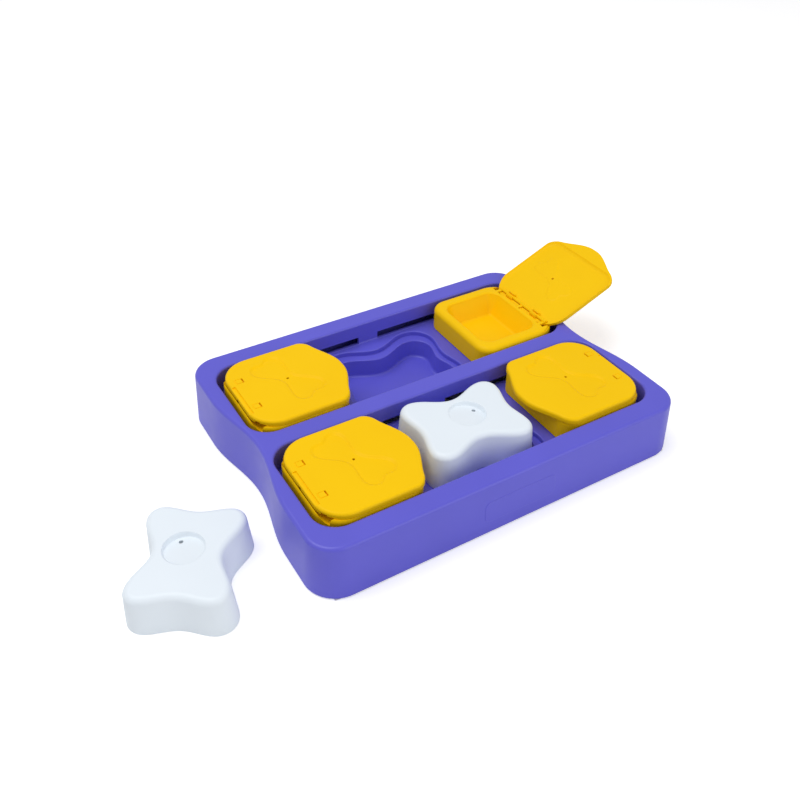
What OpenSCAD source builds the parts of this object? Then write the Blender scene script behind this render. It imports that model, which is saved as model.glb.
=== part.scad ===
// Dog puzzle feeder: a shallow tray with two long channels, four slider boxes with hinged
// lids that run in the channels, and two bone-shaped blocks that cover the treat wells.
// Millimetres. +Z up, floor at z = 0, X along the tray, and the origin under the middle of the
// whole set: tray, open lid and loose block.

/* [Set] */
// Place of the tray's middle along X, which puts the origin under the middle of the set
tray_x = 30.33; // [10:0.01:45]

/* [Tray] */
// Length of the tray at its base
tray_len = 322.5; // [300:0.5:350]
// Width of the tray at its base
tray_wid = 244; // [236:0.5:270]
// Height of the tray top above the floor
tray_h = 46.5; // [44:0.5:56]
// Corner radius of the base in plan
tray_corner_r = 24.7; // [18:0.1:30]
// Draft of the outer walls in degrees
tray_draft = 3.6; // [1:0.1:4.5]
// Rounding of the top outer edge
tray_edge_r = 3; // [1:0.25:4]
// Thickness of the moulded walls
wall = 2.5; // [1.8:0.1:3]
// Depth of the hand waist in each short end
waist_depth = 9.8; // [2:0.1:9.9]
// Half length of the hand waist
waist_half = 68; // [50:1:80]

/* [Channels] */
// Length of each channel at the rim
channel_len = 292; // [288:0.5:294]
// Width of each channel
channel_wid = 92.5; // [91:0.5:94]
// Height of the channel floor above the tray's underside level
channel_floor = 26; // [24:0.5:28]
// Corner radius of a channel in plan
channel_corner_r = 19; // [14:0.5:21]
// Rounding of the channel's top edge
channel_edge_r = 2; // [0.5:0.25:2.5]
// Width of the divider between the channels
divider_wid = 17; // [15:0.5:20]
// Width of the bridge between the two slots of one wall
slot_bridge = 19; // [14:0.5:24]
// Height of the guide slots
slot_h = 7; // [6:0.25:9]

/* [Treat wells] */
// Length of the bone-shaped recess in the channel floor
recess_len = 104; // [100:0.5:108]
// Width of the recess
recess_wid = 83; // [78:0.5:84]
// Depth of the ledge that carries a bone block
ledge_drop = 4.2; // [3:0.1:6]
// Length of the treat well inside the ledge
well_len = 94; // [88:0.5:96]
// Width of the treat well inside the ledge
well_wid = 66; // [62:0.5:67]
// Height of the well floor above the floor the tray stands on
well_floor = 6; // [5:0.5:12]
// Corner radius of the treat well's lobes
well_lobe_r = 15; // [12:0.5:18]
// Inward lean of the well walls from top to bottom
well_lean = 1.6; // [0.5:0.1:3]

/* [Slider boxes] */
// Length of a box along the channel
box_len = 81; // [78:0.5:84]
// Gap between a box and each long channel wall
box_side_gap = 2.25; // [1:0.25:3]
// Gap between a box's outer end and the end of the channel at rest
box_end_gap = 3.5; // [1.5:0.25:4]
// Height of a box
box_h = 20.7; // [19:0.1:24]
// Running gap under a box
box_floor_gap = 0.3; // [0.2:0.05:0.6]
// Plan corner radius at the outer end
box_outer_r = 20; // [16:0.5:22]
// Plan corner radius at the inner end
box_inner_r = 14; // [8:0.5:18]
// Rounding of the top edge of a box
box_edge_r = 5; // [2:0.25:6]
// Thickness of the box walls
box_wall = 2.2; // [1.6:0.1:2.6]
// Width of the box rim at the inner end
bin_rim_inner = 8.5; // [7:0.5:12]
// Width of the box rim along the long sides
bin_rim_side = 11.5; // [9:0.5:14]
// Distance from the outer end to the bin
bin_rim_outer = 17.5; // [17:0.5:22]
// Inward slope of the bin walls from rim to bin floor
bin_slope = 8; // [3:0.5:12]
// Corner radius of the bin at the rim
bin_corner_r = 10; // [9:0.5:14]
// Length of a guide tongue
tongue_len = 8; // [5:0.5:12]
// Reach of a guide tongue into its slot
tongue_reach = 2; // [1:0.25:2.5]
// Height of a guide tongue
tongue_h = 5.7; // [3:0.1:6.2]
// Distance of the inner tongue from the box's inner end
tongue_back = 15; // [14:0.5:18]
// Distance between the two tongues of one side
tongue_pitch = 36; // [30:0.5:38]

/* [Lids] */
// Thickness of a lid
lid_t = 3.15; // [2.6:0.05:4]
// Gap between a closed lid and its box
lid_gap = 0.25; // [0.2:0.05:0.4]
// Drop of the lid's lip over the rounded edge of its box
lid_lip = 1.2; // [0.6:0.1:1.6]
// Reach of the nose past the box's inner end
nose_reach = 12; // [10:0.5:14]
// Height of the nose bump beyond the lid's shoulders
nose_bump = 13; // [9:0.5:14]
// Half width of the flat middle of the nose
nose_flat = 2; // [0:0.5:8]
// Plan corner radius at the nose shoulders
nose_shoulder_r = 9.5; // [7:0.5:12]
// Rounding of the lid's top edge
lid_edge_r = 2.5; // [1:0.25:2.5]
// Plan corner radius of a lid at its outer end
lid_outer_r = 23; // [20:0.5:24]
// Set-back of the lid's outer edge from the box's outer face
lid_setback = 1.5; // [1:0.25:2.5]
// Distance from the box's outer face to the hinge axis
hinge_in = 8; // [7.5:0.25:9]
// Depth of the hinge axis below the box rim
hinge_below_rim = 0.2; // [0.15:0.05:0.3]
// Radius of the hinge bar
bar_r = 1.5; // [1.2:0.05:1.6]
// Radial running clearance of the lid's clips on the bar
clip_clear = 0.07; // [0.03:0.01:0.09]
// Wall of the clips
clip_wall = 1.7; // [1.3:0.1:1.9]
// Width of a clip along the bar
clip_wid = 8; // [5:0.5:10]
// Distance of each clip from the middle of the lid
clip_off = 17.5; // [12:0.5:22]
// Gap between a clip and the mould window beside it
window_in = 1.4; // [0.8:0.1:2]
// Width of a mould window along the bar
window_wid = 5.5; // [3:0.5:7]
// Length of a mould window
window_len = 1.3; // [0.8:0.1:3]
// Distance of the outer bar ribs from the middle of the box
rib_off = 31; // [26:0.5:32]
// Width of a bar rib
rib_wid = 3; // [2:0.25:4]
// Opening angle of the lid that is shown open
open_angle = 157; // [90:1:157]
// Depth of the step in the top face along the hinge edge
step_depth = 0.8; // [0.4:0.1:1.8]
// Turn of the bone figure, in degrees, the same way on every lid
figure_turn = 24; // [0:0.5:30]
// Distance of the figure's middle from the box's outer face
figure_u = 46; // [44:0.5:50]
// Set-off of the bone figure and scent hole towards the rear
figure_y = 4; // [0:0.5:5]
// Radius of the scent hole in a lid
scent_hole_r = 1.1; // [0.8:0.1:2]
// Depth of the bone figure pressed into a lid
figure_depth = 0.7; // [0.3:0.1:1.2]

/* [Bone blocks] */
// Length of a bone block at its base
bone_len = 88.6; // [84:0.2:90]
// Width of a bone block at its base
bone_wid = 73.5; // [70:0.2:75]
// Height of a bone block
bone_h = 31; // [26:0.5:36]
// Corner radius of a bone block's lobes
bone_lobe_r = 13.5; // [11:0.5:16]
// Depth of the waists in the long sides
bone_side_waist = 10.3; // [6:0.1:12]
// Depth of the waists in the ends
bone_end_waist = 3.7; // [1:0.1:5]
// Inward lean of the sides from base to top
bone_lean = 2.6; // [0.5:0.1:3]
// Rounding of the top edge
bone_edge_r = 5; // [3:0.25:6]
// Wall thickness of a bone block
bone_wall = 2.4; // [1.6:0.1:3]
// Radius of the finger dish
dish_r = 14; // [10:0.5:16]
// Depth of the dish at its deep edge
dish_depth = 3.6; // [2:0.1:5]
// Depth of the dish at its shallow edge
dish_lip = 0.3; // [0.2:0.05:0.6]
// Place of the dish's middle on the block
dish_place = [2.5, 2.5];
// Direction in which the dish leans, in degrees
dish_turn = 26; // [0:1:45]
// Radius of the scent hole in the dish
bone_hole_r = 1.6; // [1:0.1:2.5]
// Turn of the seated block in its recess, in degrees
seated_turn = -4; // [-5:0.5:5]
// Place of the seated block's middle, along and across its recess
seated_place = [-3, 0];
// Turn of the loose block beside the tray, in degrees
loose_turn = 58; // [40:1:70]
// Place of the loose block's middle on the floor
loose_place = [-224.5, -56];

/* [Feet] */
// Radius of a rubber foot
foot_r = 7.5; // [6:0.25:8]
// Thickness of a rubber foot below its boss
foot_t = 2.2; // [1.5:0.1:3]
// Radius of a foot's plug
plug_r = 5; // [3.5:0.25:5]
// Height of a foot's plug
plug_h = 6; // [4:0.5:10]
// Radial clearance of a plug in its boss
plug_clear = 0.05; // [0.02:0.01:0.1]
// Distance of a foot's middle from the tray's short end at the base
foot_in_x = 14.25; // [13:0.25:18]
// Distance of a foot's middle from the tray's long side at the base
foot_in_y = 17.5; // [15.5:0.25:19]
// Gap between the tray's lower edge and the floor
edge_lift = 1; // [0.5:0.25:2]

/* [Hidden] */
$fn = 48;
eps = 0.01;

violet = [0.40, 0.37, 0.86];
yellow = [1.0, 0.78, 0.02];
white = [0.93, 0.95, 0.97];
rubber = [0.16, 0.16, 0.18];

// Channel and box places
channel_y = divider_wid / 2 + channel_wid / 2;
box_half = channel_wid / 2 - box_side_gap;
box_x = channel_len / 2 - box_end_gap;
box_z = channel_floor + box_floor_gap;
rim_z = box_z + box_h;
bin_floor_z = box_z + box_wall;
hinge_z = rim_z - hinge_below_rim;
lid_z = rim_z + lid_gap;
lid_top = lid_z + lid_t;
lid_half = box_half - 0.65;
lid_inner = box_len + nose_reach - nose_bump;
// Radius swept by the part of a lid behind its hinge axis, and the pocket that clears it
back_reach = hinge_in - lid_setback;
sweep_r = norm([back_reach - lid_edge_r, lid_top - hinge_z - lid_edge_r]) + lid_edge_r;
pocket_r = sweep_r + 0.3;
outer_in = sqrt(pow(box_outer_r, 2) - pow(box_outer_r - hinge_in, 2));
pocket_half = box_half - box_outer_r + outer_in - box_wall;
// The end wall stays below the open lid, whose top face then hangs over it
open_rise = 180 - open_angle;
clear_z = hinge_z + (hinge_in - box_wall) * tan(open_rise)
        - (lid_top - hinge_z) / cos(open_rise) - 0.35;
// Slots reach from the bridge to just past the outer tongue
slot_start = slot_bridge / 2;
tongue_1 = box_x - box_len + tongue_back;
slot_stop = tongue_1 + tongue_pitch + tongue_len + 1.5;
// Wells and bones
ledge_z = channel_floor - ledge_drop;
lobe_gap = (recess_len - well_len) / 2;
// Bosses sit in the corners between the channels and the outer wall
boss_x = tray_len / 2 - foot_in_x;
boss_y = tray_wid / 2 - foot_in_y;
deck_z = tray_h - wall;

// A solid skinned over closed loops of points, one above the other, all with as many points
module skin(loops) {
    n = len(loops[0]);
    m = len(loops);
    polyhedron(
        points = [for (loop = loops) each loop],
        faces = concat(
            [[for (j = [0:n - 1]) j]],
            [for (i = [0:m - 2]) for (j = [0:n - 1]) each
                [[i * n + j, (i + 1) * n + j, (i + 1) * n + (j + 1) % n],
                 [i * n + j, (i + 1) * n + (j + 1) % n, i * n + (j + 1) % n]]],
            [[for (j = [n - 1:-1:0]) (m - 1) * n + j]]));
}

// Joins curved skins into one faceted body, at their own size
module one_body() {
    resize([0, 0, 0]) children();
}

// Points of an arc about c, from angle a0 to a1, at height z
function arc(c, r, a0, a1, z, n = 6) =
    [for (i = [0:n]) let (a = a0 + (a1 - a0) * i / n)
        [c[0] + r * cos(a), c[1] + r * sin(a), z]];

// A bell of height 1 in the middle that falls to 0 at -1 and 1
function bell(t) = (1 + cos(180 * min(1, abs(t)))) / 2;

// Plan outline of the tray, grown by g: straight long sides and waisted short ends
function tray_loop(g, z) =
    let (hx = tray_len / 2, hy = tray_wid / 2, r = tray_corner_r, n = 16)
    concat(
        [for (i = [1:n - 1]) let (y = (hy - r) * (2 * i / n - 1))
            [hx + g - waist_depth * bell(y / waist_half), y, z]],
        arc([hx - r, hy - r], r + g, 0, 90, z),
        arc([r - hx, hy - r], r + g, 90, 180, z),
        [for (i = [1:n - 1]) let (y = (hy - r) * (1 - 2 * i / n))
            [waist_depth * bell(y / waist_half) - hx - g, y, z]],
        arc([r - hx, r - hy], r + g, 180, 270, z),
        arc([hx - r, r - hy], r + g, 270, 360, z));

// Plan outline of a rounded rectangle about the origin, grown by g
function plate_loop(hx, hy, r, g, z) =
    concat(
        arc([hx - r, hy - r], r + g, 0, 90, z),
        arc([r - hx, hy - r], r + g, 90, 180, z),
        arc([r - hx, r - hy], r + g, 180, 270, z),
        arc([hx - r, r - hy], r + g, 270, 360, z));

// Plan outline of a bone: a rounded rectangle whose four sides are drawn in by bells
function bone_loop(len, wid, r, end_waist, side_waist, g, z) =
    let (a = len / 2, b = wid / 2, n = 10)
    concat(
        [for (i = [1:n - 1]) let (t = 2 * i / n - 1)
            [a + g - end_waist * bell(t), t * (b - r), z]],
        arc([a - r, b - r], r + g, 0, 90, z, 5),
        [for (i = [1:n - 1]) let (t = 1 - 2 * i / n)
            [t * (a - r), b + g - side_waist * bell(t), z]],
        arc([r - a, b - r], r + g, 90, 180, z, 5),
        [for (i = [1:n - 1]) let (t = 1 - 2 * i / n)
            [end_waist * bell(t) - a - g, t * (b - r), z]],
        arc([r - a, r - b], r + g, 180, 270, z, 5),
        [for (i = [1:n - 1]) let (t = 2 * i / n - 1)
            [t * (a - r), side_waist * bell(t) - b - g, z]],
        arc([a - r, r - b], r + g, 270, 360, z, 5));

// Reach of a nose bump at v, on a lid or box of this half width
function nose(v, half, bump) = bump * bell(max(0, abs(v) - nose_flat) / (half - nose_flat));

// Plan outline of a box or lid, from u0 at the outer end to u1, with a nose bump past u1
function block_loop(u0, u1, half, r0, r1, bump, g, z) =
    let (n = 12)
    concat(
        [for (i = [1:n - 1]) let (v = (2 * i / n - 1) * (half - r1))
            [u1 + g + nose(v, half, bump), v, z]],
        [for (p = arc([u1 - r1, half - r1], r1 + g, 0, 90, z, 5))
            [p[0] + nose(p[1], half, bump), p[1], z]],
        arc([u0 + r0, half - r0], r0 + g, 90, 180, z, 6),
        arc([u0 + r0, r0 - half], r0 + g, 180, 270, z, 6),
        [for (p = arc([u1 - r1, r1 - half], r1 + g, 270, 360, z, 5))
            [p[0] + nose(p[1], half, bump), p[1], z]]);

// Growth and height of the rings that round a top edge of radius r ending at height z
function round_top(r, z, n = 3) =
    [for (i = [0:n]) let (a = 90 * i / n) [r * cos(a) - r, z - r + r * sin(a)]];

// Growth and height of the rings that flare a hole's top edge by radius r up to height z
function flare_top(r, z, n = 3) =
    [for (i = [0:n]) let (a = 90 * i / n) [r - r * cos(a), z - r + r * sin(a)]];

// Tray

module tray_body() {
    lean = tan(tray_draft);
    skin(concat(
        [tray_loop(-lean * edge_lift, edge_lift)],
        [for (q = round_top(tray_edge_r, tray_h)) tray_loop(q[0] - lean * (tray_h - tray_edge_r), q[1])]));
}

module tray_hollow() {
    lean = tan(tray_draft);
    skin([tray_loop(-wall, -eps), tray_loop(-wall - lean * deck_z, deck_z)]);
}

module channel_block(g, z0) {
    top = [channel_edge_r, tray_h + 1];
    flares = g > 0 ? [[g, tray_h + 1]] : concat(flare_top(channel_edge_r, tray_h), [top]);
    skin(concat(
        [plate_loop(channel_len / 2, channel_wid / 2, channel_corner_r, g, z0)],
        [for (q = flares) plate_loop(channel_len / 2, channel_wid / 2, channel_corner_r, q[0], q[1])]));
}

module recess_block(g, z0, z1) {
    skin([for (z = [z0, z1])
        bone_loop(recess_len, recess_wid, bone_lobe_r + lobe_gap, bone_end_waist, bone_side_waist, g, z)]);
}

module well_block(g, z0, z1) {
    skin([for (q = [[-well_lean, z0], [0, z1]])
        bone_loop(well_len, well_wid, well_lobe_r, bone_end_waist, bone_side_waist, g + q[0], q[1])]);
}

module slots() {
    for (side = [-1, 1], end = [0, 1])
        mirror([end, 0, 0])
            translate([slot_start, side * (channel_wid / 2 + wall / 2) - (wall + 1) / 2, channel_floor])
                cube([slot_stop - slot_start, wall + 1, slot_h]);
}

module bosses() {
    for (sx = [-1, 1], sy = [-1, 1]) translate([sx * boss_x, sy * boss_y, foot_t])
        cylinder(r = foot_r, h = deck_z + 1 - foot_t);
}

module boss_bores() {
    for (sx = [-1, 1], sy = [-1, 1]) translate([sx * boss_x, sy * boss_y, 0])
        cylinder(r = plug_r + plug_clear, h = channel_floor - wall);
}

// Puts a piece made about the tray's middle at its place in the set
module in_set() {
    translate([tray_x, 0, 0]) children();
}

module tray_shell() {
    color(violet)
    in_set() difference() {
        one_body() difference() {
            union() {
                difference() {
                    tray_body();
                    difference() {
                        tray_hollow();
                        for (s = [-1, 1]) translate([0, s * channel_y, 0]) {
                            channel_block(wall, channel_floor - wall);
                            recess_block(wall, ledge_z - wall, channel_floor);
                            well_block(wall, well_floor - wall, ledge_z);
                        }
                    }
                }
                bosses();
            }
            for (s = [-1, 1]) translate([0, s * channel_y, 0]) {
                channel_block(0, channel_floor);
                recess_block(0, ledge_z, channel_floor + 1);
                well_block(0, well_floor, ledge_z + eps);
                slots();
            }
        }
        boss_bores();
    }
}

module foot(x, y) {
    color(rubber)
    in_set() translate([x, y, 0]) {
        cylinder(r = foot_r, h = foot_t);
        cylinder(r = plug_r, h = foot_t + plug_h);
    }
}

// Slider box, with its outer end at u = 0 and the inner end towards +X

module box_shape(g, top) {
    skin(concat(
        [block_loop(0, box_len, box_half, box_outer_r, box_inner_r, 0, g, box_z - (g < 0 ? 1 : 0))],
        [for (q = round_top(box_edge_r, top))
            block_loop(0, box_len, box_half, box_outer_r, box_inner_r, 0, q[0] + g, q[1])]));
}

module bin_shape(g, z0, z1) {
    half = box_half - bin_rim_side;
    skin([for (q = [[-bin_slope, z0], [0, z1]])
        block_loop(bin_rim_outer, box_len - bin_rim_inner, half, bin_corner_r, bin_corner_r, 0,
                   q[0] + g, q[1])]);
}

module lid_pocket() {
    translate([hinge_in, 0, hinge_z]) rotate([90, 0, 0])
        cylinder(r = pocket_r, h = 2 * pocket_half, center = true);
    translate([-1, -box_half - 1, clear_z])
        cube([hinge_in + 1, 2 * box_half + 2, box_h]);
}

module box_hollow() {
    difference() {
        box_shape(-box_wall, rim_z - box_wall);
        bin_shape(box_wall, bin_floor_z - box_wall, rim_z);
        translate([hinge_in, 0, hinge_z]) rotate([90, 0, 0])
            cylinder(r = pocket_r + box_wall, h = 2 * box_half, center = true);
    }
}

module tongues() {
    outer = box_half + box_side_gap + tongue_reach;
    for (s = [0, 1]) mirror([0, s, 0]) {
        for (u = [box_len - tongue_back - tongue_len, box_len - tongue_back - tongue_len - tongue_pitch])
            translate([u, box_half - 1, box_z]) cube([tongue_len, outer - box_half + 1, tongue_h]);
    }
}

// Ribs from the pocket's inner side that carry the hinge bar
module bar_ribs() {
    in = pocket_r + 0.5;
    under = lid_z - hinge_z;
    for (y = [-rib_off, 0, rib_off])
        translate([hinge_in, y + rib_wid / 2, hinge_z]) rotate([90, 0, 0])
            linear_extrude(height = rib_wid)
                polygon([[0, 0.2 - under], [in, 0.2 - under - in * tan(open_rise) * 0.94],
                         [in, under - lid_gap - 0.15], [0, under - lid_gap - 0.15]]);
}

module slider_box() {
    color(yellow)
    union() {
        one_body() {
            difference() {
                box_shape(0, rim_z);
                box_hollow();
                bin_shape(0, bin_floor_z, rim_z + eps);
                lid_pocket();
            }
            tongues();
            bar_ribs();
        }
        // hinge bar
        translate([hinge_in, 0, hinge_z]) rotate([90, 0, 0])
            cylinder(r = bar_r, h = 2 * rib_off + rib_wid + 1, center = true);
    }
}

// Lid, closed, in the same place as its box

module lid_plate() {
    low = rim_z - lid_lip;
    skin(concat(
        [block_loop(lid_setback, lid_inner, lid_half, lid_outer_r, nose_shoulder_r, nose_bump, 0, low)],
        [for (q = round_top(lid_edge_r, lid_top))
            block_loop(lid_setback, lid_inner, lid_half, lid_outer_r, nose_shoulder_r, nose_bump,
                       q[0], q[1])]));
}

module bone_figure() {
    linear_extrude(height = 2)
        union() {
            square([11, 46], center = true);
            for (sx = [-1, 1], sy = [-1, 1]) translate([sx * 6.5, sy * 22.5]) circle(r = 8);
        }
}

module lid_body(turn) {
    one_body() difference() {
        lid_plate();
        // the underside follows the box's rim, at the lid's gap
        box_shape(lid_gap, rim_z + lid_gap);
        // no lip behind the hinge, where it would turn into the ribs
        translate([-1, -box_half, rim_z - lid_lip - 1])
            cube([hinge_in + 1, 2 * box_half, lid_lip + lid_gap + 1]);
        // step in the top face along the hinge edge
        translate([lid_setback - 1, lid_outer_r - lid_half, lid_top - step_depth])
            cube([4, 2 * (lid_half - lid_outer_r), lid_t]);
        // pressed bone figure
        translate([figure_u, figure_y, lid_top - figure_depth]) rotate([0, 0, turn]) bone_figure();
    }
}

module hinged_lid(turn = figure_turn) {
    clip_r = bar_r + clip_clear + clip_wall;
    color(yellow)
    difference() {
        union() {
            lid_body(turn);
            for (s = [-1, 1]) translate([hinge_in, s * clip_off, hinge_z]) {
                rotate([90, 0, 0]) cylinder(r = clip_r, h = clip_wid, center = true);
                translate([-clip_r, -clip_wid / 2, 0]) cube([2 * clip_r, clip_wid, lid_z - hinge_z + 0.5]);
            }
        }
        for (s = [-1, 1]) translate([hinge_in, s * clip_off, hinge_z]) {
            rotate([90, 0, 0]) cylinder(r = bar_r + clip_clear, h = clip_wid + 1, center = true);
            // the mouth of the clip, narrower than the bar
            translate([-bar_r * 0.75, -clip_wid / 2 - 0.5, -clip_r - 1])
                cube([bar_r * 1.5, clip_wid + 1, clip_r + 1]);
            // mould window beside the clip
            translate([clip_r + window_in, -window_wid / 2, 0]) cube([window_len, window_wid, lid_top]);
        }
        // groove that clears the bar between and beyond the clips
        for (g = [[clip_wid / 2 - clip_off, clip_off - clip_wid / 2],
                  [clip_off + clip_wid / 2, lid_half + 1],
                  [-lid_half - 1, -clip_off - clip_wid / 2]])
            translate([hinge_in, g[1], hinge_z]) rotate([90, 0, 0])
                cylinder(r = bar_r + 0.4, h = g[1] - g[0]);
        translate([figure_u, figure_y, lid_z - 1]) cylinder(r = scent_hole_r, h = lid_t + 2);
    }
}

// Puts a box or lid, or the left-hand shape of it, at its channel and end
module at_end(end, side) {
    in_set() mirror([end > 0 ? 1 : 0, 0, 0])
        translate([-box_x, side * channel_y, 0])
            children();
}

// Turns a closed lid up about its hinge bar
module opened(angle) {
    translate([hinge_in, 0, hinge_z]) rotate([0, -angle, 0]) translate([-hinge_in, 0, -hinge_z])
        children();
}

// Bone block, base at z = 0

module bone_skin(g, z0, top, edge) {
    lean = bone_lean / bone_h * (bone_h - bone_edge_r);
    skin(concat(
        [bone_loop(bone_len, bone_wid, bone_lobe_r, bone_end_waist, bone_side_waist, g, z0)],
        [for (q = round_top(edge, top))
            bone_loop(bone_len, bone_wid, bone_lobe_r, bone_end_waist, bone_side_waist,
                      q[0] + g - lean, q[1])]));
}

module bone_body() {
    roof = bone_h - bone_wall;
    one_body() difference() {
        bone_skin(0, 0, bone_h, bone_edge_r);
        difference() {
            bone_skin(-bone_wall, -eps, roof, bone_edge_r - 2);
            // the dish keeps its wall from inside
            translate([dish_place[0], dish_place[1], roof - dish_depth])
                cylinder(r = dish_r + bone_wall - 0.4, h = bone_h);
        }
        // finger dish: a round face that leans down towards its hole
        translate([dish_place[0], dish_place[1], bone_h]) rotate([0, 0, dish_turn])
            rotate([0, asin(dish_depth / (2 * dish_r)), 0])
                translate([0, 0, -dish_depth / 2 - dish_lip]) cylinder(r = dish_r, h = bone_h);
    }
}

module bone_block() {
    color(white)
    difference() {
        bone_body();
        translate([dish_place[0], dish_place[1], -1]) rotate([0, 0, dish_turn])
            translate([dish_r * 0.64, 0, 0]) cylinder(r = bone_hole_r, h = bone_h + 2);
    }
}

module box_rear_left() at_end(-1, 1) slider_box();
module box_rear_right() at_end(1, 1) slider_box();
module box_front_left() at_end(-1, -1) slider_box();
module box_front_right() at_end(1, -1) slider_box();
module lid_rear_left() at_end(-1, 1) hinged_lid();
module lid_rear_right() at_end(1, 1) opened(open_angle) hinged_lid(-figure_turn);
module lid_front_left() at_end(-1, -1) hinged_lid();
module lid_front_right() at_end(1, -1) hinged_lid(-figure_turn);
module bone_seated() {
    in_set() translate([seated_place[0], seated_place[1] - channel_y, ledge_z])
        rotate([0, 0, seated_turn])
            bone_block();
}
module bone_loose() {
    in_set() translate([loose_place[0], loose_place[1], 0])
        rotate([0, 0, loose_turn])
            bone_block();
}
module foot_rear_left() foot(-boss_x, boss_y);
module foot_rear_right() foot(boss_x, boss_y);
module foot_front_left() foot(-boss_x, -boss_y);
module foot_front_right() foot(boss_x, -boss_y);

tray_shell();
box_rear_left();
box_rear_right();
box_front_left();
box_front_right();
lid_rear_left();
lid_rear_right();
lid_front_left();
lid_front_right();
bone_seated();
bone_loose();
foot_rear_left();
foot_rear_right();
foot_front_left();
foot_front_right();
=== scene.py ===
"""Looks of the dog puzzle feeder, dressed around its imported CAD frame.

Lengths are in millimetres inside the shape functions and turn into metres in solid().
Every surface is a stack of closed loops, and every loop is a formula of its own sizes.
"""
import math

import bpy
import numpy as np
from mathutils import Matrix


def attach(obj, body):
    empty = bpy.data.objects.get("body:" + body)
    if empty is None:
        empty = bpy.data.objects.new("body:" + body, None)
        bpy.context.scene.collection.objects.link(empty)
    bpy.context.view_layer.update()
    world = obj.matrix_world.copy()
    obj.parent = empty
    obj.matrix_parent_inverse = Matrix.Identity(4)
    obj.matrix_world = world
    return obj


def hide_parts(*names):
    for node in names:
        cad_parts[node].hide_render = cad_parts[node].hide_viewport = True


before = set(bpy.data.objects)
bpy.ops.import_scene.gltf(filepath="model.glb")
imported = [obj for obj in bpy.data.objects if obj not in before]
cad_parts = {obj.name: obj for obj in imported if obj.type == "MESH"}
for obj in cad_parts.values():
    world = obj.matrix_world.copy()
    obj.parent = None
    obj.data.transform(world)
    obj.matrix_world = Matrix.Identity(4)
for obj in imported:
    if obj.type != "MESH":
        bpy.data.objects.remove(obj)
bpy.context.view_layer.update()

# ---------------------------------------------------------------- camera

AZ, EL, ROLL = math.radians(-31.505), math.radians(38.743), math.radians(0.903)
back = np.array([math.sin(AZ) * math.cos(EL), -math.cos(AZ) * math.cos(EL), math.sin(EL)])
right = np.array([math.cos(AZ), math.sin(AZ), 0.0])
up = np.cross(back, right)
r2 = math.cos(ROLL) * right + math.sin(ROLL) * up
u2 = -math.sin(ROLL) * right + math.cos(ROLL) * up
cam = bpy.data.objects.new("camera", bpy.data.cameras.new("camera"))
bpy.context.scene.collection.objects.link(cam)
cam.data.lens, cam.data.sensor_width = 38.43, 36.0
cam.data.clip_start, cam.data.clip_end = 0.01, 50
place = Matrix.Identity(4)
for row in range(3):
    place[row][0], place[row][1], place[row][2] = r2[row], u2[row], back[row]
place[0][3], place[1][3], place[2][3] = -0.27147, -0.44733, 0.46094
cam.matrix_world = place
bpy.context.scene.camera = cam

# ---------------------------------------------------------------- sizes, as in the CAD source

# the tray's middle along X
SET_X = 30.33
# tray: length, width, height, corner radius, lean of the walls
TRAY_L, TRAY_W, TRAY_H, TRAY_R, LEAN = 322.5, 244.0, 46.5, 24.7, math.tan(math.radians(3.6))
# its wall, top edge radius, hand waist's depth and half length, and height above the floor
WALL, EDGE, WAIST, WAIST_HALF, LIFT = 2.5, 3.0, 9.8, 68.0, 1.0
# channel: length, width, floor height, corner and edge radius, place across the tray
CH_L, CH_W, CH_Z, CH_R, CH_EDGE, CH_Y = 292.0, 92.5, 26.0, 19.0, 2.0, 54.75
# recess and its ledge's height, then the well: size, floor height, lobe radius, lean
REC_L, REC_W, LEDGE_Z = 104.0, 83.0, 21.8
WELL_L, WELL_W, WELL_Z, WELL_R, WELL_LEAN = 94.0, 66.0, 6.0, 15.0, 1.6
# slots: start and end from the tray's middle, height, half thickness of the cut through a wall
SLOT_0, SLOT_1, SLOT_H, SLOT_CUT = 9.5, 122.0, 7.0, 1.75
# box: outer end's place, length, half width, underside, rim, outer and inner corner radius, edge radius, wall
BOX_X, BOX_L, BOX_HALF, BOX_Z, RIM_Z = 142.5, 81.0, 44.0, 26.3, 47.0
BOX_R0, BOX_R1, BOX_EDGE, SKIN = 22.0, 14.0, 5.0, 2.2
# bin: start and end, half width, corner radius, slope, floor height
BIN_0, BIN_1, BIN_HALF, BIN_R, BIN_SLOPE, BIN_Z = 17.5, 72.5, 32.5, 10.0, 8.0, 28.5
# tongues: starts along the box, length, height, reach past the box's side
TONGUES, TONGUE_L, TONGUE_H, TONGUE_REACH = (BOX_L - 23, BOX_L - 59), 8, 5.7, 4.25
# hinge: axis, bar radius, half length of the bar, ribs' places and half width, opening angle
HINGE_U, HINGE_Z, BAR_R, BAR_HALF, RIBS, RIB_HALF, OPEN = 8.0, 46.8, 1.5, 33, (-31, 0, 31), 1.5, 157.0
# clips: distance from the middle, half width, wall, clearance on the bar
CLIP_V, CLIP_HALF, CLIP_WALL, CLIP_CLEAR = 17.5, 4, 1.7, 0.07
# lid: underside, thickness, half width, ends, nose and its flat, corner radii, edge radius, depth of the lip
LID_Z, LID_T, LID_HALF, LID_U0, LID_U1, BUMP, FLAT = 47.25, 3.15, 43.35, 1.5, 80.0, 13.0, 2.0
LID_R0, LID_R1, LID_EDGE, LIP = 23.0, 9.5, 2.5, 1.65
# figure on the lid: place, turn, depth, and the scent hole's radius
FIG_U, FIG_V, FIG_TURN, FIG_DEPTH, SCENT_R = 46.0, 4.0, 24.0, 1.3, 1.1
# bone block: length, width, height, lobe radius, waists, lean, edge radius, wall
BONE_L, BONE_W, BONE_H, BONE_R = 88.6, 73.5, 31.0, 13.5
BONE_SIDE, BONE_END, BONE_LEAN, BONE_EDGE, BONE_T = 10.3, 3.7, 2.6, 5.0, 2.4
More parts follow.
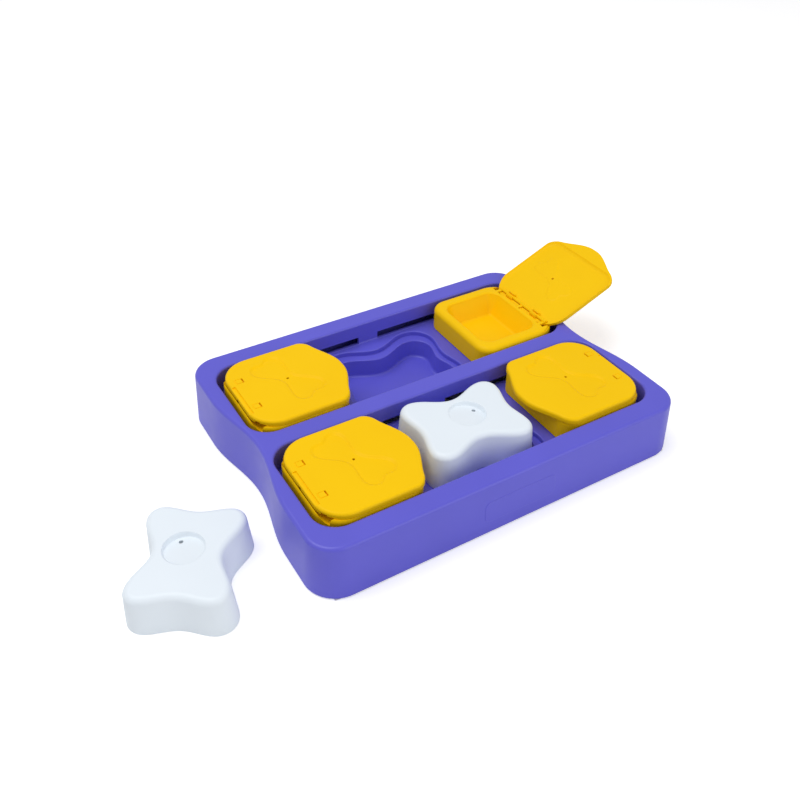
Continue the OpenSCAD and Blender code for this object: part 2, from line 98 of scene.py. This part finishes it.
# finger dish: middle, radius, depth, direction, and the hole in it: radius and share of the dish's radius
DISH, DISH_R, DISH_D, DISH_TURN, HOLE_R, HOLE_OUT = (2.5, 2.5), 14.0, 3.6, 26.0, 1.6, 0.64
# foot: radius, thickness, plug radius and height, and the bosses' places
FOOT_R, FOOT_T, PLUG_R, PLUG_H, BOSS = 7.5, 2.2, 5.0, 6.0, (147.0, 104.5)
# blank plate on the front wall: middle x and z, half length, half height
PLATE = (2.0, 21.0, 31.5, 9.5)
# the four corners where a box, a lid or a foot sits: name, end along X, side across Y
CORNERS = (("rear_left", -1, 1), ("rear_right", 1, 1), ("front_left", -1, -1), ("front_right", 1, -1))

# ---------------------------------------------------------------- loops


def arc(cx, cy, r, a0, a1, n):
    """n + 1 points c + r (cos a, sin a), with a from a0 to a1 degrees in even steps."""
    a = np.radians(np.linspace(a0, a1, n + 1))
    return np.stack([cx + r * np.cos(a), cy + r * np.sin(a)], 1)


def circle(r, n=64):
    """n points of a whole circle of radius r."""
    a = np.radians(np.arange(n) * 360 / n)
    return np.stack([r * np.cos(a), r * np.sin(a)], 1)


def bell(t):
    """(1 + cos(pi t)) / 2 inside -1..1, and 0 outside."""
    return (1 + np.cos(np.pi * np.minimum(1, np.abs(t)))) / 2


def tray_loop(g):
    """The tray's outline grown by g, with arcs of TRAY_R, and ends drawn in by WAIST * bell(y / WAIST_HALF)."""
    hx, hy, r = TRAY_L / 2, TRAY_W / 2, TRAY_R
    y = np.linspace(-(hy - r), hy - r, 65)[1:-1]
    end = hx + g - WAIST * bell(y / WAIST_HALF)
    return np.concatenate([
        np.stack([end, y], 1), arc(hx - r, hy - r, r + g, 0, 90, 14), arc(r - hx, hy - r, r + g, 90, 180, 14),
        np.stack([-end, -y], 1), arc(r - hx, r - hy, r + g, 180, 270, 14), arc(hx - r, r - hy, r + g, 270, 360, 14)])


def plate_loop(hx, hy, r, g=0.0, n=12):
    """A rectangle of half sizes hx, hy with corners of r, grown by g."""
    return np.concatenate([
        arc(hx - r, hy - r, r + g, 0, 90, n), arc(r - hx, hy - r, r + g, 90, 180, n),
        arc(r - hx, r - hy, r + g, 180, 270, n), arc(hx - r, r - hy, r + g, 270, 360, n)])


def bone_loop(length, width, r, end, side, g=0.0, n=36):
    """A rounded rectangle grown by g, whose ends are drawn in by end * bell and sides by side * bell."""
    a, b = length / 2, width / 2
    t = np.linspace(-1, 1, n + 1)[1:-1]
    ex, sy = a + g - end * bell(t), b + g - side * bell(t)
    return np.concatenate([
        np.stack([ex, t * (b - r)], 1), arc(a - r, b - r, r + g, 0, 90, 12), np.stack([-t * (a - r), sy], 1),
        arc(r - a, b - r, r + g, 90, 180, 12), np.stack([-ex, -t * (b - r)], 1),
        arc(r - a, r - b, r + g, 180, 270, 12), np.stack([t * (a - r), -sy], 1),
        arc(a - r, r - b, r + g, 270, 360, 12)])


def block_loop(u0, u1, half, r0, r1, bump=0.0, g=0.0):
    """A box's or lid's outline grown by g: corners r0 at u0 and r1 at u1, where bump * bell is added as a nose."""
    v = np.linspace(-(half - r1), half - r1, 49)[1:-1]
    front = np.stack([np.full(len(v), u1 + g), v], 1)
    loops = [front, arc(u1 - r1, half - r1, r1 + g, 0, 90, 12),
             arc(u0 + r0, half - r0, r0 + g, 90, 180, 14), arc(u0 + r0, r0 - half, r0 + g, 180, 270, 14),
             arc(u1 - r1, r1 - half, r1 + g, 270, 360, 12)]
    for loop in (loops[0], loops[1], loops[4]):
        loop[:, 0] += bump * bell(np.maximum(0, np.abs(loop[:, 1]) - FLAT) / (half - FLAT))
    return np.concatenate(loops)


def round_out(r, z, n=8):
    """(growth, height) pairs of a quarter circle that closes an outer edge of radius r at height z."""
    a = np.radians(np.linspace(0, 90, n + 1))
    return list(zip(r * np.cos(a) - r, z - r + r * np.sin(a)))


def flare_out(r, z, n=6, over=1.0):
    """(growth, height) pairs of a quarter circle that opens a hole's edge by r at height z, and goes on by over."""
    a = np.radians(np.linspace(0, 88, n + 1))
    return list(zip(r - r * np.cos(a), z - r + r * np.sin(a))) + [(r * 1.02, z + 0.02), (r * 1.02, z + over)]


def foot_in(r, z, n=5):
    """(growth, height) pairs of a quarter circle that rounds a solid's lower edge, or a hole's floor, at height z."""
    a = np.radians(np.linspace(90, 0, n + 1))
    return list(zip(r * np.cos(a) - r, z + r - r * np.sin(a)))


# ---------------------------------------------------------------- solids


def mesh_object(name, verts, faces):
    """An object at the origin with these vertices, given in millimetres."""
    mesh = bpy.data.meshes.new(name)
    mesh.from_pydata((np.asarray(verts, float) / 1000).tolist(), [], faces)
    mesh.update()
    obj = bpy.data.objects.new(name, mesh)
    bpy.context.scene.collection.objects.link(obj)
    return obj


def solid(name, rings):
    """Closed skin over rings, a list of (loop, height or heights), with quads between and a flat cap at each end."""
    n = len(rings[0][0])
    verts = np.concatenate([np.column_stack([loop, np.broadcast_to(z, n)]) for loop, z in rings])
    k = np.arange(n)
    faces = [list(map(int, k[::-1]))]
    for i in range(len(rings) - 1):
        a, b = i * n + k, i * n + (k + 1) % n
        faces += np.stack([a, b, b + n, a + n], 1).tolist()
    faces.append(list(map(int, (len(rings) - 1) * n + k)))
    return mesh_object(name, verts, faces)


def cylinder(name, a, b, r, n=48):
    """A round bar of radius r from point a to point b."""
    a, b = np.array(a, float), np.array(b, float)
    w = (b - a) / np.linalg.norm(b - a)
    p = np.cross(w, [1, 0, 0] if abs(w[0]) < 0.9 else [0, 1, 0])
    p /= np.linalg.norm(p)
    q = np.cross(w, p)
    t = np.radians(np.arange(n) * 360 / n)[:, None]
    ring = r * (np.cos(t) * p + np.sin(t) * q)
    k = np.arange(n)
    side = np.stack([k, (k + 1) % n, (k + 1) % n + n, k + n], 1).tolist()
    return mesh_object(name, np.concatenate([ring + a, ring + b]), side + [k[::-1].tolist(), (k + n).tolist()])


def brick(name, lo, hi):
    """A plain box between two corners, used only to cut or join other solids."""
    (x0, y0, z0), (x1, y1, z1) = lo, hi
    verts = [(x, y, z) for z in (z0, z1) for x, y in ((x0, y0), (x1, y0), (x1, y1), (x0, y1))]
    faces = [(3, 2, 1, 0), (4, 5, 6, 7), (0, 1, 5, 4), (1, 2, 6, 5), (2, 3, 7, 6), (3, 0, 4, 7)]
    return mesh_object(name, verts, faces)


def combine(base, tools, how):
    """Cuts tools from base, or joins them to it, and removes them."""
    for tool in tools:
        m = base.modifiers.new("combine", "BOOLEAN")
        m.object, m.operation, m.solver = tool, how, "MANIFOLD"
    done = bpy.data.meshes.new_from_object(base.evaluated_get(bpy.context.evaluated_depsgraph_get()))
    base.modifiers.clear()
    base.data = done
    for tool in tools:
        bpy.data.objects.remove(tool)
    return base


def cut(base, *tools):
    return combine(base, tools, "DIFFERENCE")


def join(base, *tools):
    return combine(base, tools, "UNION")


def smooth(obj, angle=32):
    """Smooth shading up to angle, with normals that keep the flats flat."""
    obj.data.shade_smooth()
    obj.data.set_sharp_from_angle(angle=math.radians(angle))
    m = obj.modifiers.new("normals", "WEIGHTED_NORMAL")
    m.keep_sharp, m.weight = True, 80
    return obj


# ---------------------------------------------------------------- materials


def plastic(name, colour, rough, shade, coat=0.05, spec=0.35, grain=0.00006):
    """Moulded plastic: its colour drifts by shade over the part, with a fine orange-peel bump and uneven polish."""
    mat = bpy.data.materials.new(name)
    mat.use_nodes = True
    nt = mat.node_tree
    bsdf = nt.nodes["Principled BSDF"]
    bsdf.inputs["Coat Weight"].default_value = coat
    bsdf.inputs["Coat Roughness"].default_value = 0.25
    bsdf.inputs["Specular IOR Level"].default_value = spec
    place = nt.nodes.new("ShaderNodeTexCoord")

    def noise(scale, detail):
        node = nt.nodes.new("ShaderNodeTexNoise")
        node.inputs["Scale"].default_value = scale
        node.inputs["Detail"].default_value = detail
        nt.links.new(place.outputs["Object"], node.inputs["Vector"])
        return node

    ramp = nt.nodes.new("ShaderNodeValToRGB")
    ramp.color_ramp.elements[0].position, ramp.color_ramp.elements[1].position = 0.3, 0.7
    ramp.color_ramp.elements[0].color = tuple(c * (1 - shade) for c in colour) + (1,)
    ramp.color_ramp.elements[1].color = tuple(min(1, c * (1 + shade)) for c in colour) + (1,)
    nt.links.new(noise(18, 2).outputs["Fac"], ramp.inputs["Fac"])
    nt.links.new(ramp.outputs["Color"], bsdf.inputs["Base Color"])
    polish = nt.nodes.new("ShaderNodeMapRange")
    polish.inputs["To Min"].default_value, polish.inputs["To Max"].default_value = rough - 0.05, rough + 0.06
    nt.links.new(noise(60, 3).outputs["Fac"], polish.inputs["Value"])
    nt.links.new(polish.outputs["Result"], bsdf.inputs["Roughness"])
    bump = nt.nodes.new("ShaderNodeBump")
    bump.inputs["Strength"].default_value = 0.35
    bump.inputs["Distance"].default_value = grain
    nt.links.new(noise(900, 2).outputs["Fac"], bump.inputs["Height"])
    nt.links.new(bump.outputs["Normal"], bsdf.inputs["Normal"])
    return mat


VIOLET = plastic("violet_plastic", (0.121, 0.113, 0.66), 0.34, 0.03, coat=0.12)
YELLOW = plastic("yellow_plastic", (1.0, 0.60, 0.001), 0.45, 0.02, coat=0.0, spec=0.1)
WHITE = plastic("white_plastic", (0.84, 0.91, 0.97), 0.42, 0.01)
RUBBER = plastic("foot_rubber", (0.022, 0.022, 0.026), 0.75, 0.1, coat=0.0, grain=0.0001)


def finish(obj, mat, slot, body, *nodes):
    """Moves a finished piece to the set's frame, gives it material, smooth shading and body, and hides the CAD nodes
    that it stands for.
    """
    obj.data.transform(Matrix.Translation((SET_X / 1000, 0, 0)))
    obj.data.materials.clear()
    obj.data.materials.append(mat)
    smooth(obj)
    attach(obj, body)
    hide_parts(*nodes)
    return obj


# ---------------------------------------------------------------- tray


def channel(g, z0, flared):
    """The space of a channel, grown by g from height z0 up, with its top edge flared when it cuts the tray."""
    hx, hy = CH_L / 2, CH_W / 2
    lower = foot_in(1.5, z0) if flared else [(g, z0)]
    upper = flare_out(CH_EDGE, TRAY_H) if flared else [(g, TRAY_H + 1)]
    return solid("channel", [(plate_loop(hx, hy, CH_R, q), z) for q, z in lower + upper])


def recess(g, z0, z1, flared):
    """The bone-shaped recess, as wide as REC_L by REC_W, whose edge at the channel floor is flared by 1."""
    r = BONE_R + (REC_L - WELL_L) / 2
    upper = flare_out(1.0, z1) if flared else [(g, z1)]
    return solid("recess", [(bone_loop(REC_L, REC_W, r, BONE_END, BONE_SIDE, q), z) for q, z in [(g, z0)] + upper])


def well(g, z0, z1, flared):
    """The well under a bone block: walls lean in by WELL_LEAN towards a rounded floor."""
    if flared:
        rings = [(q - WELL_LEAN, z) for q, z in foot_in(2.5, z0)] + flare_out(0.8, z1)
    else:
        rings = [(g - WELL_LEAN, z0), (g, z1)]
    return solid("well", [(bone_loop(WELL_L, WELL_W, WELL_R, BONE_END, BONE_SIDE, q), z) for q, z in rings])


def shifted(obj, dx, dy, dz=0.0):
    obj.data.transform(Matrix.Translation((dx / 1000, dy / 1000, dz / 1000)))
    return obj


def name_plate():
    """The blank plate on the front wall, raised by 0.4 with a rounded edge."""
    x, z, hx, hz = PLATE
    rings = [(0.0, -1.0), (0.0, 0.05), (-0.25, 0.3), (-0.6, 0.4)]
    plate = solid("plate", [(plate_loop(hx, hz, 5, q, 8), h) for q, h in rings])
    tilt = Matrix.Rotation(math.radians(90) - math.atan(LEAN), 4, "X")
    plate.data.transform(tilt)
    return shifted(plate, x, LEAN * z - TRAY_W / 2, z)


def tray():
    """Outer skin, minus its hollow, minus channels, recesses, wells and slots, plus the foot bosses."""
    straight = TRAY_H - EDGE
    outer = [(q, z) for q, z in foot_in(0.6, LIFT, 3)] + [
        (q - LEAN * straight, z) for q, z in round_out(EDGE, TRAY_H)]
    body = solid("tray", [(tray_loop(q - LEAN * LIFT if i < 4 else q), z) for i, (q, z) in enumerate(outer)])
    deck = TRAY_H - WALL
    hollow = solid("hollow", [(tray_loop(-WALL), -0.01), (tray_loop(-WALL - LEAN * deck), deck)])
    for s in (-1, 1):
        cut(hollow, shifted(channel(WALL, CH_Z - WALL, False), 0, s * CH_Y))
        cut(hollow, shifted(recess(WALL, LEDGE_Z - WALL, CH_Z, False), 0, s * CH_Y))
        cut(hollow, shifted(well(WALL, WELL_Z - WALL, LEDGE_Z, False), 0, s * CH_Y))
    cut(body, hollow)
    for sx in (-1, 1):
        for sy in (-1, 1):
            x, y = sx * BOSS[0], sy * BOSS[1]
            join(body, cylinder("boss", (x, y, FOOT_T), (x, y, deck + 1), FOOT_R))
    for s in (-1, 1):
        cut(body, shifted(channel(0, CH_Z, True), 0, s * CH_Y))
        cut(body, shifted(recess(0, LEDGE_Z, CH_Z, True), 0, s * CH_Y))
        cut(body, shifted(well(0, WELL_Z, LEDGE_Z, True), 0, s * CH_Y))
        for side in (-1, 1):
            y = s * CH_Y + side * (CH_W / 2 + WALL / 2)
            for e in (-1, 1):
                x0, x1 = sorted((e * SLOT_0, e * SLOT_1))
                cut(body, brick("slot", (x0, y - SLOT_CUT, CH_Z), (x1, y + SLOT_CUT, CH_Z + SLOT_H)))
    for sx in (-1, 1):
        for sy in (-1, 1):
            x, y = sx * BOSS[0], sy * BOSS[1]
            cut(body, cylinder("bore", (x, y, -1), (x, y, CH_Z - WALL), PLUG_R + 0.05))
    return join(body, name_plate())


finish(tray(), VIOLET, "violet_plastic", "tray", "tray_shell")

# ---------------------------------------------------------------- slider boxes


def box_skin(g, top):
    """The outer form of a box, grown by g, up to height top with its upper edge rounded by BOX_EDGE."""
    lower = [(q, z) for q, z in foot_in(0.8, BOX_Z, 3)] if g == 0 else [(g, BOX_Z - 1)]
    rings = lower + [(q + g, z) for q, z in round_out(BOX_EDGE, top)]
    return solid("box", [(block_loop(0, BOX_L, BOX_HALF, BOX_R0, BOX_R1, 0, q), z) for q, z in rings])


def bin_form(g, z0, z1, flared):
    """The space of a bin: walls slope in by BIN_SLOPE down to a rounded floor."""
    if flared:
        rings = [(q - BIN_SLOPE * (1 - (z - z0) / (z1 - z0)), z) for q, z in foot_in(2.0, z0)] + flare_out(2.2, z1)
    else:
        rings = [(g - BIN_SLOPE, z0), (g, z1)]
    return solid("bin", [(block_loop(BIN_0, BIN_1, BIN_HALF, BIN_R, BIN_R, 0, q), z) for q, z in rings])


def slider_box():
    """A box with its outer end at u = 0: skin, hollow, bin, lid pocket, guide tongues, ribs and hinge bar."""
    under = LID_Z - HINGE_Z
    rise = math.tan(math.radians(180 - OPEN))
    pocket_half = BOX_HALF - BOX_R0 + math.sqrt(BOX_R0 ** 2 - (BOX_R0 - HINGE_U) ** 2) - SKIN
    lid_top = LID_Z + LID_T
    sweep = math.hypot(HINGE_U - LID_U0 - LID_EDGE, lid_top - HINGE_Z - LID_EDGE) + LID_EDGE
    pocket_r = sweep + 0.3
    clear = HINGE_Z + (HINGE_U - SKIN) * rise - (lid_top - HINGE_Z) / math.cos(math.radians(180 - OPEN)) - 0.35
    body = box_skin(0, RIM_Z)
    hollow = box_skin(-SKIN, RIM_Z - SKIN)
    cut(hollow, bin_form(SKIN, BIN_Z - SKIN, RIM_Z, False))

    def pocket(half, r):
        return cylinder("pocket", (HINGE_U, -half, HINGE_Z), (HINGE_U, half, HINGE_Z), r, 96)

    cut(hollow, pocket(BOX_HALF, pocket_r + SKIN))
    cut(body, hollow)
    cut(body, bin_form(0, BIN_Z, RIM_Z, True))
    cut(body, pocket(pocket_half, pocket_r))
    cut(body, brick("clear", (-1, -BOX_HALF - 1, clear), (HINGE_U, BOX_HALF + 1, clear + 20)))
    corner = brick("corner", (-1, -50, clear), (26, 50, 60))
    cut(corner, solid("keep", [(block_loop(LID_U0, LID_U1, LID_HALF, LID_R0, LID_R1, 0, -0.3), z) for z in (40, 70)]))
    cut(body, corner)
    for s in (-1, 1):
        for u in TONGUES:
            v0, v1 = sorted((s * (BOX_HALF - 1), s * (BOX_HALF + TONGUE_REACH)))
            join(body, brick("tongue", (u, v0, BOX_Z), (u + TONGUE_L, v1, BOX_Z + TONGUE_H)))
    inner = pocket_r + 0.5
    for y in RIBS:
        side = [(HINGE_U, HINGE_Z + 0.2 - under), (HINGE_U + inner, HINGE_Z + 0.2 - under - inner * rise * 0.94),
                (HINGE_U + inner, HINGE_Z + under - 0.4), (HINGE_U, HINGE_Z + under - 0.4)]
        verts = [(u, y - RIB_HALF, z) for u, z in side] + [(u, y + RIB_HALF, z) for u, z in side]
        faces = [(0, 1, 2, 3), (7, 6, 5, 4)] + [(i, i + 4, (i + 1) % 4 + 4, (i + 1) % 4) for i in range(4)]
        join(body, mesh_object("rib", verts, faces))
    join(body, cylinder("bar", (HINGE_U, -BAR_HALF, HINGE_Z), (HINGE_U, BAR_HALF, HINGE_Z), BAR_R, 40))
    return body


def soft_plate(name, loop, width, low, high, over):
    """A plate over loop(growth): its wall rises from low to high along (1 - cos t) / 2 across width, then by over."""
    t = np.linspace(0, math.pi, 11)
    rings = [(loop(width * (v / math.pi - 0.5)), low + (high - low) * (1 - math.cos(v)) / 2) for v in t]
    step = math.copysign(0.02, over)
    return solid(name, rings + [(rings[-1][0], high + step), (rings[-1][0], high + over)])


def hinged_lid(turn):
    """A closed lid in its box's place: plate, figure, scent hole, clips, windows and the groove over the bar."""
    top, low = LID_Z + LID_T, RIM_Z - LIP
    rings = foot_in(0.4, low, 3) + round_out(LID_EDGE, top, 10)
    plate = solid("lid", [(block_loop(LID_U0, LID_U1, LID_HALF, LID_R0, LID_R1, BUMP, q), z) for q, z in rings])
    # the lip follows the box's rounded rim, and behind the hinge it leaves room for the three ribs
    under = cut(box_skin(LID_Z - RIM_Z, LID_Z), brick("behind", (-1, -50, 0), (LID_U0 + 2, 50, 60)))
    cut(plate, under)
    for v in RIBS:
        cut(plate, brick("rib_room", (-1, v - RIB_HALF - 0.7, low - 1), (HINGE_U, v + RIB_HALF + 0.7, LID_Z)))
    # step along the hinge edge
    cut(plate, brick("step", (LID_U0 - 1, -24.5, top - 1.1), (LID_U0 + 3.6, 12.5, top + 1)))
    # figure: a shallow bone with soft walls above, and its faint reverse below
    spin = Matrix.Translation((FIG_U / 1000, FIG_V / 1000, 0)) @ Matrix.Rotation(math.radians(turn + 90), 4, "Z")
    figure = soft_plate("figure", lambda g: bone_loop(61, 29, 7.5, 2.4, 8.5, g, 30), 3.4, top - FIG_DEPTH, top, 1)
    figure.data.transform(spin)
    cut(plate, figure)
    t = np.linspace(0, math.pi, 9)
    rings = [(bone_loop(54, 24, 6.5, 2.2, 7.0, math.cos(v) - 1, 30), LID_Z - 0.45 * (1 - math.cos(v)) / 2)
             for v in t][::-1]
    reverse = solid("reverse", rings + [(rings[-1][0], LID_Z + 0.5)])
    reverse.data.transform(spin)
    join(plate, reverse)
    # clips below, and beside each one a U-shaped mark and a blind window in the top face
    clip = BAR_R + CLIP_CLEAR + CLIP_WALL
    for s in (-1, 1):
        y0, y1 = s * CLIP_V - CLIP_HALF, s * CLIP_V + CLIP_HALF
        join(plate, cylinder("clip", (HINGE_U, y0, HINGE_Z), (HINGE_U, y1, HINGE_Z), clip),
             brick("web", (HINGE_U - clip, y0, HINGE_Z), (HINGE_U + clip, y1, LID_Z + 0.5)))
    for s in (-1, 1):
        y0, y1 = s * CLIP_V - CLIP_HALF - 0.5, s * CLIP_V + CLIP_HALF + 0.5
        cut(plate, cylinder("bore", (HINGE_U, y0, HINGE_Z), (HINGE_U, y1, HINGE_Z), BAR_R + CLIP_CLEAR))
        mouth = BAR_R * 0.75
        cut(plate, brick("mouth", (HINGE_U - mouth, y0, HINGE_Z - clip - 1), (HINGE_U + mouth, y1, HINGE_Z)))
        rings = ((-0.3, top - 0.35), (0, top - 0.1), (0.2, top + 1))
        mark = solid("mark", [(plate_loop(3.4, 3.1, 1.4, g, 6), z) for g, z in rings])
        cut(mark, solid("inner", [(plate_loop(2.5, 2.2, 0.9, 0, 6), z) for z in (top - 1, top + 2)]))
        cut(plate, shifted(mark, HINGE_U + clip - 0.9, s * CLIP_V))
        cut(plate, brick("window", (HINGE_U + clip + 1.4, s * CLIP_V - 2.75, top - 2.2),
                         (HINGE_U + clip + 2.7, s * CLIP_V + 2.75, top + 3)))
    # groove over the bar between the clips and beside them
    near, far = CLIP_V - CLIP_HALF, CLIP_V + CLIP_HALF
    for v0, v1 in ((-near, near), (far, BAR_HALF + 0.5), (-BAR_HALF - 0.5, -far)):
        cut(plate, cylinder("groove", (HINGE_U, v0, HINGE_Z), (HINGE_U, v1, HINGE_Z), BAR_R + 0.4))
    cut(plate, cylinder("hole", (FIG_U, FIG_V, LID_Z - 1), (FIG_U, FIG_V, top + 1), SCENT_R, 32))
    return plate


def at_end(obj, name, end, side, opened=0.0):
    """A copy of a left box or lid at its channel and end; the right ones are mirror images."""
    mesh = obj.data.copy()
    turn = Matrix.Identity(4)
    if opened:
        axle = Matrix.Translation((HINGE_U / 1000, 0, HINGE_Z / 1000))
        turn = axle @ Matrix.Rotation(math.radians(-opened), 4, "Y") @ axle.inverted()
    move = Matrix.Translation((-BOX_X / 1000, side * CH_Y / 1000, 0))
    flip = Matrix.Scale(-1, 4, (1, 0, 0)) if end > 0 else Matrix.Identity(4)
    mesh.transform(flip @ move @ turn)
    if end > 0:
        mesh.flip_normals()
    new = bpy.data.objects.new(name, mesh)
    bpy.context.scene.collection.objects.link(new)
    return new


box_form = slider_box()
# the figure leans the same way on every lid, so it turns back in the mirrored ones
lid_forms = {-1: hinged_lid(FIG_TURN), 1: hinged_lid(-FIG_TURN)}
for where, end, side in CORNERS:
    finish(at_end(box_form, "slider_" + where, end, side), YELLOW, "yellow_plastic", "slider_" + where, "box_" + where)
    finish(at_end(lid_forms[end], "flap_" + where, end, side, OPEN if where == "rear_right" else 0), YELLOW,
           "yellow_plastic", "lid_" + where, "lid_" + where)
for form in (box_form, *lid_forms.values()):
    bpy.data.objects.remove(form)

# ---------------------------------------------------------------- bone blocks


def bone_form(g, z0, top, edge, foot):
    """A bone block's outer or inner form: sides lean in by BONE_LEAN, and the top edge is rounded by edge."""
    lean = BONE_LEAN / BONE_H * (BONE_H - BONE_EDGE)
    lower = foot_in(foot, z0, 3) if foot else [(0, z0)]
    rings = [(q + g, z) for q, z in lower] + [(q + g - lean, z) for q, z in round_out(edge, top, 12)]
    return solid("bone", [(bone_loop(BONE_L, BONE_W, BONE_R, BONE_END, BONE_SIDE, q), z) for q, z in rings])


def dish_form():
    """The finger dish: a circle whose floor leans from the top face down by DISH_D, with walls of cosine section."""
    a = np.radians(np.arange(96) * 3.75)
    face = np.stack([np.cos(a), np.sin(a)], 1)
    depth = DISH_D * (1 + face[:, 0]) / 2 + 0.3
    rings = []
    for t in np.linspace(0, math.pi, 11):
        rings.append((face * (DISH_R - 1.0 + t / math.pi * 1.8), BONE_H - depth * (1 + math.cos(t)) / 2))
    rings[-1] = (rings[-1][0], BONE_H + 0.02)
    rings.append((rings[-1][0], BONE_H + 2))
    return solid("dish", rings)


def bone_block():
    """A hollow bone block, open below, with its dish and scent hole."""
    roof = BONE_H - BONE_T
    body = bone_form(0, 0, BONE_H, BONE_EDGE, 0.5)
    hollow = bone_form(-BONE_T, -0.01, roof, BONE_EDGE - 2, 0)
    x, y = DISH
    cut(hollow, cylinder("keep", (x, y, roof - DISH_D), (x, y, BONE_H + 2), DISH_R + BONE_T - 0.4))
    cut(body, hollow)
    dish = dish_form()
    dish.data.transform(Matrix.Translation((x / 1000, y / 1000, 0)) @ Matrix.Rotation(math.radians(DISH_TURN), 4, "Z"))
    cut(body, dish)
    hx = x + DISH_R * HOLE_OUT * math.cos(math.radians(DISH_TURN))
    hy = y + DISH_R * HOLE_OUT * math.sin(math.radians(DISH_TURN))
    cut(body, cylinder("hole", (hx, hy, 10), (hx, hy, BONE_H + 2), HOLE_R, 32))
    return body


block = bone_block()
for name, spot, turn in (("bone_seated", (-3, -CH_Y, LEDGE_Z), -4), ("bone_loose", (-224.5, -56, 0), 58)):
    mesh = block.data.copy()
    mesh.transform(Matrix.Translation([c / 1000 for c in spot]) @ Matrix.Rotation(math.radians(turn), 4, "Z"))
    new = bpy.data.objects.new("block_" + name[5:], mesh)
    bpy.context.scene.collection.objects.link(new)
    finish(new, WHITE, "white_plastic", name, name)
bpy.data.objects.remove(block)

# ---------------------------------------------------------------- feet


for where, sx, sy in CORNERS:
    profile = [(FOOT_R - 0.5, 0), (FOOT_R - 0.15, 0.15), (FOOT_R, 0.5), (FOOT_R, FOOT_T - 0.3), (FOOT_R - 0.3, FOOT_T),
               (PLUG_R, FOOT_T), (PLUG_R, FOOT_T + PLUG_H - 0.6), (PLUG_R - 0.6, FOOT_T + PLUG_H)]
    pad = solid("pad_" + where, [(circle(r), z) for r, z in profile])
    shifted(pad, sx * BOSS[0], sy * BOSS[1])
    finish(pad, RUBBER, "foot_rubber", "tray", "foot_" + where)

# ---------------------------------------------------------------- room and light

floor = mesh_object("floor", [(-6000, -6000, 0), (6000, -6000, 0), (6000, 6000, 0), (-6000, 6000, 0)], [(0, 1, 2, 3)])
white = bpy.data.materials.new("floor")
white.use_nodes = True
paint = white.node_tree.nodes["Principled BSDF"]
paint.inputs["Base Color"].default_value = (0.90, 0.90, 0.90, 1)
paint.inputs["Roughness"].default_value = 0.9
paint.inputs["Specular IOR Level"].default_value = 0.1
# to the camera alone the floor also glows a little, which whitens it and keeps the shadows,
# but not under the tray
GLOW = 0.42


def floor_math(how, *values):
    """A Math node of the floor's material, fed by sockets and plain numbers."""
    node = white.node_tree.nodes.new("ShaderNodeMath")
    node.operation = how
    for socket, value in zip(node.inputs, values):
        if isinstance(value, (int, float)):
            socket.default_value = value
        else:
            white.node_tree.links.new(value, socket)
    return node.outputs["Value"]


seen = white.node_tree.nodes.new("ShaderNodeLightPath")
spot = white.node_tree.nodes.new("ShaderNodeSeparateXYZ")
white.node_tree.links.new(white.node_tree.nodes.new("ShaderNodeTexCoord").outputs["Object"], spot.inputs[0])
covered = floor_math(
    "MULTIPLY",
    floor_math("COMPARE", spot.outputs["X"], SET_X / 1000, (TRAY_L / 2 - WAIST - WALL) / 1000),
    floor_math("COMPARE", spot.outputs["Y"], 0.0, (TRAY_W / 2 - WALL) / 1000))
glow = floor_math(
    "MULTIPLY", floor_math("SUBTRACT", 1.0, covered), floor_math("MULTIPLY", seen.outputs["Is Camera Ray"], GLOW))
paint.inputs["Emission Color"].default_value = (1, 1, 1, 1)
white.node_tree.links.new(glow, paint.inputs["Emission Strength"])
floor.data.materials.append(white)

world = bpy.data.worlds.new("studio")
bpy.context.scene.world = world
world.use_nodes = True
sky = world.node_tree.nodes["Background"]
sky.inputs["Color"].default_value = (0.98, 0.98, 1, 1)
# the world lights at AMBIENT, and behind the floor's end the camera alone sees it white
AMBIENT = 0.50
ray = world.node_tree.nodes.new("ShaderNodeLightPath")
level = world.node_tree.nodes.new("ShaderNodeMapRange")
level.inputs["To Min"].default_value, level.inputs["To Max"].default_value = AMBIENT, 1.0
world.node_tree.links.new(ray.outputs["Is Camera Ray"], level.inputs["Value"])
world.node_tree.links.new(level.outputs["Result"], sky.inputs["Strength"])


def area(name, spot, aim, size, power):
    """A square soft light at spot that faces aim."""
    data = bpy.data.lights.new(name, "AREA")
    data.size, data.energy = size, power
    lamp = bpy.data.objects.new(name, data)
    bpy.context.scene.collection.objects.link(lamp)
    lamp.location = spot
    way = Matrix.Translation(aim).translation - Matrix.Translation(spot).translation
    lamp.rotation_euler = way.to_track_quat("-Z", "Y").to_euler()


area("key", (-0.5, 0.3, 1.6), (0, 0, 0), 1.2, 14)
area("fill", (0.7, -1.8, 0.8), (0, 0, 0), 1.4, 9.5)
bpy.context.scene.view_settings.view_transform = "Standard"

bpy.context.view_layer.update()
